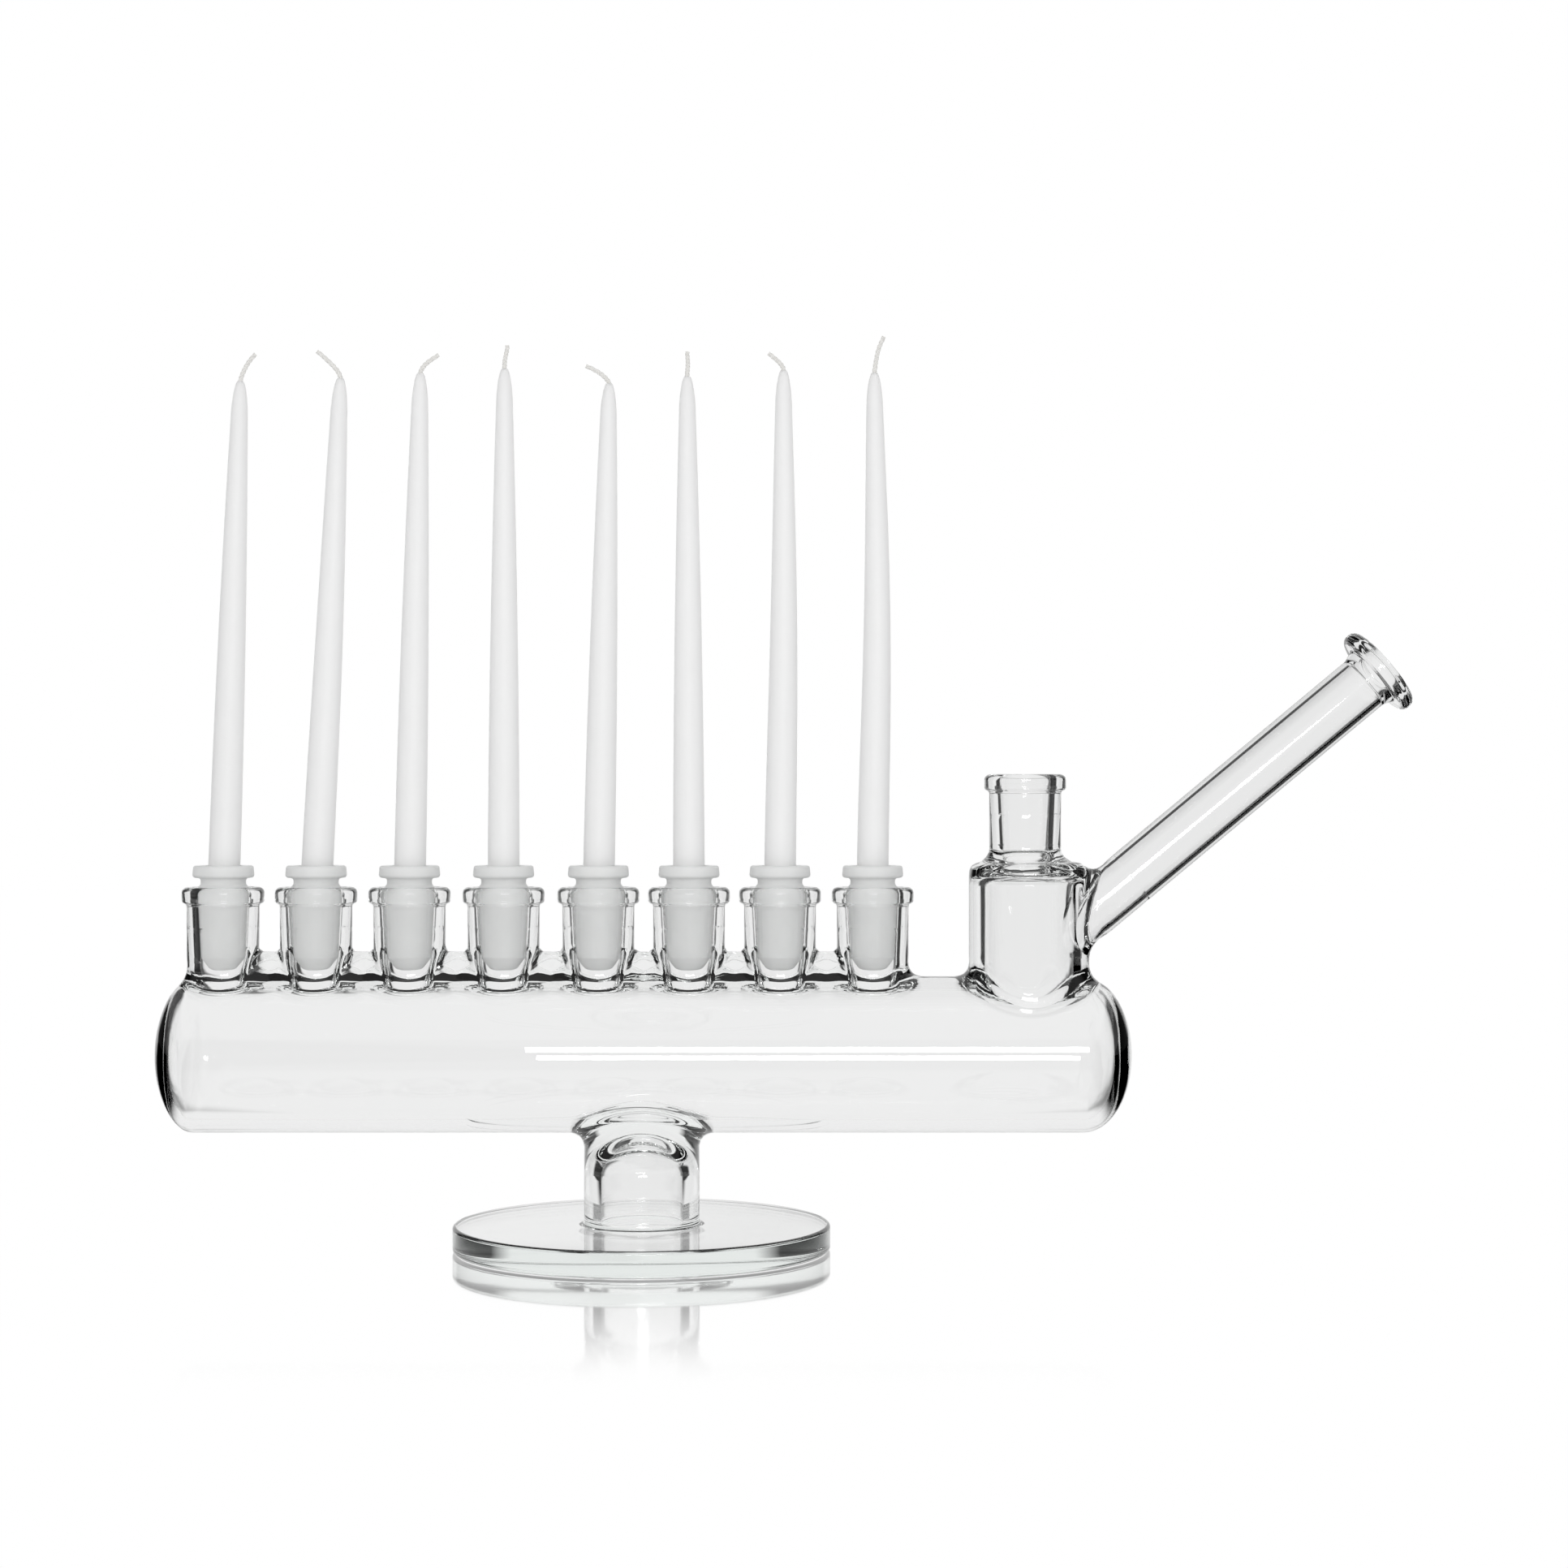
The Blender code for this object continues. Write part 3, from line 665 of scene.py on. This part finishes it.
def make_wick(number, finish):
    """Twisted strands, rooted in the wax, straight up out of it and then bent over."""
    foot, along, length, _ = candle_frame(number)
    side, rise = (reach * MM for reach in WICK_ENDS[number - 1])
    across = Vector((along.z, 0, -along.x))
    tip = foot + along * length
    profile = strand_profile()
    bpy.ops.object.select_all(action="DESELECT")
    bpy.ops.curve.primitive_nurbs_path_add()
    wick = bpy.context.object
    wick.name = wick.data.name = f"braided_wick_{number}"
    bpy.ops.object.mode_set(mode="EDIT")
    bpy.ops.curve.select_all(action="SELECT")
    bpy.ops.curve.spline_type_set(type="POLY")
    bpy.ops.curve.subdivide(number_cuts=12)
    bpy.ops.object.mode_set(mode="OBJECT")
    points = wick.data.splines[0].points
    for n, point in enumerate(points):
        share = n / (len(points) - 1)
        up = -WICK_ROOT + (WICK_ROOT + rise) * share
        bent = max(up, 0) / rise
        sway = WICK_SWAY * math.sin(5 * bent + number) * bent
        point.co = (*(tip + along * up + across * (side * bent**WICK_CURL + sway)), 1)
        point.tilt = math.radians(WICK_TWIST) * share
        point.radius = 1 - WICK_THINNING * bent
    wick.data.bevel_mode = "OBJECT"
    wick.data.bevel_object = profile
    wick.data.use_fill_caps = True
    only(wick)
    bpy.ops.object.convert(target="MESH")
    bpy.data.objects.remove(profile)
    bpy.ops.object.mode_set(mode="EDIT")
    bpy.ops.mesh.select_all(action="SELECT")
    bpy.ops.mesh.remove_doubles(threshold=1e-6)
    bpy.ops.mesh.normals_make_consistent(inside=False)
    bpy.ops.object.mode_set(mode="OBJECT")
    bpy.ops.object.transform_apply(location=True, rotation=True, scale=True)
    bpy.ops.object.shade_smooth_by_angle(angle=math.radians(60))
    wick.data.materials.clear()
    wick.data.materials.append(finish)
    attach(wick, f"candle_{number}")
    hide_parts(f"candle_wick_{number}")
    return wick


# ---------------------------------------------------------------- finishes


def add(tree, kind, **values):
    """A node with its settings and socket values. A socket is named with _ for each space."""
    made = tree.nodes.new(kind)
    for name, value in values.items():
        if name[0].islower():
            setattr(made, name, value)
        else:
            made.inputs[name.replace("_", " ")].default_value = value
    return made


def new_group(name, inputs, outputs):
    group = bpy.data.node_groups.new(name, "ShaderNodeTree")
    for socket, value in inputs:
        made = group.interface.new_socket(socket, in_out="INPUT", socket_type="NodeSocketFloat")
        made.default_value = value
    for socket in outputs:
        group.interface.new_socket(socket, in_out="OUTPUT", socket_type="NodeSocketFloat")
    entry = group.nodes.new("NodeGroupInput")
    leave = group.nodes.new("NodeGroupOutput")
    return group, entry, leave


def make_waves_group():
    """Slow swells, as on blown glass. Height out."""
    group, entry, leave = new_group("glass_waves", [("Size", 30.0)], ["Height"])
    where = add(group, "ShaderNodeTexCoord")
    swell = add(group, "ShaderNodeTexNoise", Detail=1.0, Roughness=0.4)
    group.links.new(where.outputs["Object"], swell.inputs["Vector"])
    group.links.new(entry.outputs["Size"], swell.inputs["Scale"])
    group.links.new(swell.outputs["Fac"], leave.inputs["Height"])
    return group


def make_grain_group():
    """Fine grain and slow mottling on Object coordinates. Fine and Mottled out, both from 0 to 1."""
    group, entry, leave = new_group(
        "fine_grain", [("Grain Size", 1500.0), ("Mottle Size", 160.0)], ["Fine", "Mottled"]
    )
    where = add(group, "ShaderNodeTexCoord")
    fine = add(group, "ShaderNodeTexNoise", Detail=4.0, Roughness=0.65)
    slow = add(group, "ShaderNodeTexNoise", Detail=3.0, Roughness=0.6)
    for noise, size, out in ((fine, "Grain Size", "Fine"), (slow, "Mottle Size", "Mottled")):
        group.links.new(where.outputs["Object"], noise.inputs["Vector"])
        group.links.new(entry.outputs[size], noise.inputs["Scale"])
        group.links.new(noise.outputs["Fac"], leave.inputs[out])
    return group


def new_finish(name):
    made = bpy.data.materials.new(name)
    made.use_nodes = True
    tree = made.node_tree
    shader = tree.nodes["Principled BSDF"]
    return made, tree, shader


def place_group(tree, group, **values):
    made = tree.nodes.new("ShaderNodeGroup")
    made.node_tree = group
    for name, value in values.items():
        made.inputs[name.replace("_", " ")].default_value = value
    return made


def add_bump(tree, shader, height, distance):
    bump = add(tree, "ShaderNodeBump", Strength=1.0, Distance=distance)
    tree.links.new(height, bump.inputs["Height"])
    tree.links.new(bump.outputs["Normal"], shader.inputs["Normal"])


def span(tree, value, low, high):
    """Maps a 0 to 1 value to between low and high."""
    made = add(tree, "ShaderNodeMapRange", To_Min=low, To_Max=high)
    tree.links.new(value, made.inputs["Value"])
    return made.outputs["Result"]


def make_clear_glass(name, waves, tinted):
    """Tinted glass takes a slight green in its depth. A piece with two finishes can't, so it stays plain."""
    made, tree, shader = new_finish(name)
    shader.inputs["Base Color"].default_value = (1, 1, 1, 1)
    shader.inputs["Roughness"].default_value = 0.0
    shader.inputs["IOR"].default_value = GLASS_IOR
    shader.inputs["Transmission Weight"].default_value = 1
    swell = place_group(tree, waves, Size=WAVE_SIZE)
    add_bump(tree, shader, swell.outputs["Height"], WAVE_HEIGHT)
    if tinted:
        tint = add(tree, "ShaderNodeVolumeAbsorption", Color=GLASS_TINT, Density=GLASS_DEPTH)
        tree.links.new(tint.outputs["Volume"], tree.nodes["Material Output"].inputs["Volume"])
    return made


def make_ground_glass(grain):
    made, tree, shader = new_finish("ground_joint_glass")
    shader.inputs["IOR"].default_value = GLASS_IOR
    shader.inputs["Transmission Weight"].default_value = 0.2
    specks = place_group(tree, grain, Grain_Size=2200.0, Mottle_Size=300.0)
    mix = add(tree, "ShaderNodeMix", data_type="RGBA")
    mix.inputs["A"].default_value = (0.87, 0.88, 0.875, 1)
    mix.inputs["B"].default_value = (0.93, 0.935, 0.93, 1)
    tree.links.new(specks.outputs["Mottled"], mix.inputs["Factor"])
    tree.links.new(mix.outputs["Result"], shader.inputs["Base Color"])
    tree.links.new(span(tree, specks.outputs["Fine"], 0.42, 0.62), shader.inputs["Roughness"])
    add_bump(tree, shader, specks.outputs["Fine"], 0.03 * MM)
    return made


def make_wax(grain):
    made, tree, shader = new_finish("dipped_candle_wax")
    shader.inputs["IOR"].default_value = 1.44
    shader.inputs["Subsurface Weight"].default_value = 0.85
    shader.inputs["Subsurface Radius"].default_value = (1.0, 1.0, 1.0)
    shader.inputs["Subsurface Scale"].default_value = 3.5 * MM
    specks = place_group(tree, grain, Grain_Size=900.0, Mottle_Size=110.0)
    mix = add(tree, "ShaderNodeMix", data_type="RGBA")
    mix.inputs["A"].default_value = (0.93, 0.93, 0.925, 1)
    mix.inputs["B"].default_value = (0.97, 0.97, 0.965, 1)
    tree.links.new(span(tree, specks.outputs["Mottled"], 0.2, 0.9), mix.inputs["Factor"])
    tree.links.new(mix.outputs["Result"], shader.inputs["Base Color"])
    tree.links.new(span(tree, specks.outputs["Fine"], 0.34, 0.6), shader.inputs["Roughness"])
    add_bump(tree, shader, specks.outputs["Fine"], 0.06 * MM)
    return made


def make_cotton(grain):
    made, tree, shader = new_finish("bleached_cotton")
    shader.inputs["Sheen Weight"].default_value = 0.3
    fibres = place_group(tree, grain, Grain_Size=3500.0, Mottle_Size=500.0)
    mix = add(tree, "ShaderNodeMix", data_type="RGBA")
    mix.inputs["A"].default_value = (0.80, 0.79, 0.76, 1)
    mix.inputs["B"].default_value = (0.93, 0.92, 0.90, 1)
    tree.links.new(fibres.outputs["Mottled"], mix.inputs["Factor"])
    tree.links.new(mix.outputs["Result"], shader.inputs["Base Color"])
    tree.links.new(span(tree, fibres.outputs["Fine"], 0.75, 0.95), shader.inputs["Roughness"])
    add_bump(tree, shader, fibres.outputs["Fine"], 0.08 * MM)
    return made


# ---------------------------------------------------------------- studio


def make_camera():
    camera = bpy.data.cameras.new("studio_camera")
    camera.sensor_width = CAMERA_SENSOR
    camera.lens = CAMERA_LENS
    stand = bpy.data.objects.new("studio_camera", camera)
    bpy.context.scene.collection.objects.link(stand)
    stand.location = CAMERA_PLACE
    stand.rotation_euler = (math.radians(90), 0, 0)
    bpy.context.scene.camera = stand


def math_node(tree, operation, *values):
    """A Math node. Each value is a number, or a socket to link."""
    made = add(tree, "ShaderNodeMath", operation=operation)
    for n, value in enumerate(values):
        if isinstance(value, (int, float)):
            made.inputs[n].default_value = value
        else:
            tree.links.new(value, made.inputs[n])
    return made.outputs[0]


def ramp(tree, value, start, end):
    """0 to 1 as the value goes from start to end, smoothly."""
    made = add(
        tree, "ShaderNodeMapRange", interpolation_type="SMOOTHSTEP", From_Min=start, From_Max=end
    )
    tree.links.new(value, made.inputs["Value"])
    return made.outputs["Result"]


def grey_mix(tree, factor, first, second):
    made = add(tree, "ShaderNodeMix", data_type="FLOAT")
    for socket, value in (("Factor", factor), ("A", first), ("B", second)):
        if isinstance(value, (int, float)):
            made.inputs[socket].default_value = value
        else:
            tree.links.new(value, made.inputs[socket])
    return made.outputs["Result"]


def make_world():
    """White to the camera and low in the table's mirror. The glass meets a bright backdrop that turns dark
    to its sides, with a bright overhead. Scattered rays meet an even, softer room."""
    world = bpy.data.worlds.new("studio")
    bpy.context.scene.world = world
    world.use_nodes = True
    tree = world.node_tree
    where = add(tree, "ShaderNodeTexCoord")
    parts = add(tree, "ShaderNodeSeparateXYZ")
    tree.links.new(where.outputs["Generated"], parts.inputs["Vector"])
    x, y, z = (parts.outputs[axis] for axis in "XYZ")
    turn = math_node(tree, "DIVIDE", math_node(tree, "ARCCOSINE", y), math.pi)
    screens = add(tree, "ShaderNodeValToRGB")
    stops = screens.color_ramp.elements
    stops[0].position, stops[0].color = ROOM[0][0], (ROOM[0][1],) * 3 + (1,)
    stops[1].position, stops[1].color = ROOM[-1][0], (ROOM[-1][1],) * 3 + (1,)
    for place, bright in ROOM[1:-1]:
        stops.new(place).color = (bright,) * 3 + (1,)
    tree.links.new(turn, screens.inputs["Fac"])
    leans = [math_node(tree, "MULTIPLY", x, lean) for lean in OVERHEAD_LEAN]
    above = ramp(tree, math_node(tree, "SUBTRACT", z, math_node(tree, "MAXIMUM", *leans)), *OVERHEAD_EDGE)
    room = grey_mix(tree, above, screens.outputs["Color"], OVERHEAD)
    ray = add(tree, "ShaderNodeLightPath")
    first = math_node(tree, "LESS_THAN", ray.outputs["Ray Depth"], FIRST_MIRROR)
    blurred = math_node(
        tree, "SUBTRACT", ray.outputs["Is Glossy Ray"], ray.outputs["Is Singular Ray"]
    )
    mirrored = math_node(tree, "MULTIPLY", math_node(tree, "MAXIMUM", blurred, 0.0), first)
    low = math_node(tree, "LESS_THAN", z, MIRRORED_RISE)
    mirrored = math_node(tree, "MULTIPLY", mirrored, low)
    plain = math_node(tree, "MAXIMUM", mirrored, ray.outputs["Is Camera Ray"])
    scattered = math_node(tree, "GREATER_THAN", ray.outputs["Diffuse Depth"], 0.5)
    soft = grey_mix(tree, ramp(tree, y, *SOFT_TURN), *SOFT_ROOM)
    enclosed = math_node(tree, "GREATER_THAN", ray.outputs["Transmission Depth"], 0.5)
    soft = math_node(tree, "MULTIPLY", soft, grey_mix(tree, enclosed, 1.0, JOINT_GAIN))
    room = grey_mix(tree, scattered, room, soft)
    tree.links.new(grey_mix(tree, plain, room, 1.0), tree.nodes["Background"].inputs["Color"])


def make_softbox(name, place, aim, size, watts):
    lamp = bpy.data.lights.new(name, "AREA")
    lamp.shape = "RECTANGLE"
    lamp.size, lamp.size_y = size
    lamp.energy = watts
    stand = bpy.data.objects.new(name, lamp)
    bpy.context.scene.collection.objects.link(stand)
    stand.location = place
    stand.rotation_euler = (Vector(aim) - Vector(place)).to_track_quat("-Z", "Y").to_euler()
    stand.visible_camera = False
    return stand


def make_floor():
    """A white glossy table, with a reflection that fades towards the front. It glows, evenly white to the
    camera, and its glow is painted light and shade elsewhere: the glass meets it as painted shade (grey) in
    front, painted light behind the foot and painted dark to the sides."""
    bpy.ops.object.select_all(action="DESELECT")
    bpy.ops.mesh.primitive_plane_add(size=FLOOR_SIZE, location=(0, 0, -FLOOR_DROP))
    floor = bpy.context.object
    floor.name = floor.data.name = "studio_floor"
    bpy.ops.object.transform_apply(location=True)
    # The table's material glows: painted light and shade for every ray but the camera's
    made = bpy.data.materials.new("gloss_table_painted_glow")
    made.use_nodes = True
    tree = made.node_tree
    tree.nodes.remove(tree.nodes["Principled BSDF"])
    where = add(tree, "ShaderNodeTexCoord")
    parts = add(tree, "ShaderNodeSeparateXYZ")
    tree.links.new(where.outputs["Object"], parts.inputs["Vector"])
    ray = add(tree, "ShaderNodeLightPath")
    # Painted shade in the glow: grey in front, turning to painted light behind the foot, as the glass meets it
    front = ramp(tree, parts.outputs["Y"], *TABLE_FRONT)
    away = math_node(tree, "MAXIMUM", parts.outputs["Y"], 0.0)
    edge_start, edge_end = (
        math_node(tree, "ADD", math_node(tree, "MULTIPLY", away, spread), reach)
        for reach, spread in TABLE_SIDE
    )
    # Painted dark at the sides of the glow
    beside = math_node(tree, "SUBTRACT", math_node(tree, "ABSOLUTE", parts.outputs["X"]), edge_start)
    width = math_node(tree, "SUBTRACT", edge_end, edge_start)
    side = ramp(tree, math_node(tree, "DIVIDE", beside, width), 1.0, 0.0)
    lit = grey_mix(tree, front, TABLE_FRONT_PAINTED_SHADE, math_node(tree, "MULTIPLY", side, BACKDROP))
    scattered = math_node(tree, "GREATER_THAN", ray.outputs["Diffuse Depth"], 0.5)
    # Painted light near the middle where the glass looks steeply at the table, as through the foot
    facing = add(tree, "ShaderNodeLayerWeight", Blend=0.5).outputs["Facing"]
    steep = ramp(tree, facing, *TABLE_STEEP)
    across = ramp(tree, math_node(tree, "ABSOLUTE", parts.outputs["X"]), *TABLE_BELOW)
    below = math_node(tree, "MULTIPLY", math_node(tree, "MULTIPLY", steep, across), BACKDROP)
    lit = math_node(tree, "MAXIMUM", lit, below)
    # Scattered rays meet the glow as an even painted light, brighter for what stands inside the clear joints
    enclosed = math_node(tree, "GREATER_THAN", ray.outputs["Transmission Depth"], 0.5)
    soft = grey_mix(tree, enclosed, SOFT_ROOM[0], SOFT_ROOM[0] * JOINT_GAIN)
    lit = grey_mix(tree, scattered, lit, soft)
    # The table glows: evenly white to the camera, painted light and shade to every other ray
    painted_glow = add(tree, "ShaderNodeEmission", Strength=1.0)
    tree.links.new(grey_mix(tree, ray.outputs["Is Camera Ray"], lit, 1.0), painted_glow.inputs["Color"])
    gloss = add(tree, "ShaderNodeBsdfGlossy", Color=(1, 1, 1, 1), Roughness=TABLE_ROUGHNESS)
    fade = ramp(tree, parts.outputs["Y"], FADE_END, FADE_START)
    fade = math_node(tree, "POWER", fade, FADE_POWER)
    blend = add(tree, "ShaderNodeMixShader")
    mirror = math_node(tree, "MULTIPLY", fade, MIRROR)
    seen = math_node(tree, "MULTIPLY", mirror, ray.outputs["Is Camera Ray"])
    tree.links.new(seen, blend.inputs["Fac"])
    tree.links.new(painted_glow.outputs["Emission"], blend.inputs[1])
    tree.links.new(gloss.outputs["BSDF"], blend.inputs[2])
    tree.links.new(blend.outputs["Shader"], tree.nodes["Material Output"].inputs["Surface"])
    floor.data.materials.append(made)


def main():
    waves, grain = make_waves_group(), make_grain_group()
    clear = make_clear_glass("clear_blown_glass", waves, True)
    cup_clear = make_clear_glass("clear_cup_glass", waves, False)
    ground = make_ground_glass(grain)
    wax, cotton = make_wax(grain), make_cotton(grain)
    make_glass_body(clear)
    for number in CUPS:
        make_cup(number, cup_clear, ground)
        make_candle(number, wax)
        make_wick(number, cotton)
    make_floor()
    make_camera()
    make_world()
    make_softbox("long_strip_light", STRIP_PLACE, STRIP_AIM, STRIP_SIZE, STRIP_WATTS)
    for name, place in zip(("left_fill", "right_fill"), FILL_PLACES):
        fill = make_softbox(name, place, FILL_AIM, FILL_SIZE, FILL_WATTS)
        fill.visible_glossy = fill.visible_transmission = False
    scene = bpy.context.scene
    scene.view_settings.view_transform = "Standard"
    scene.cycles.max_bounces = BOUNCES
    scene.cycles.transmission_bounces = BOUNCES


main()
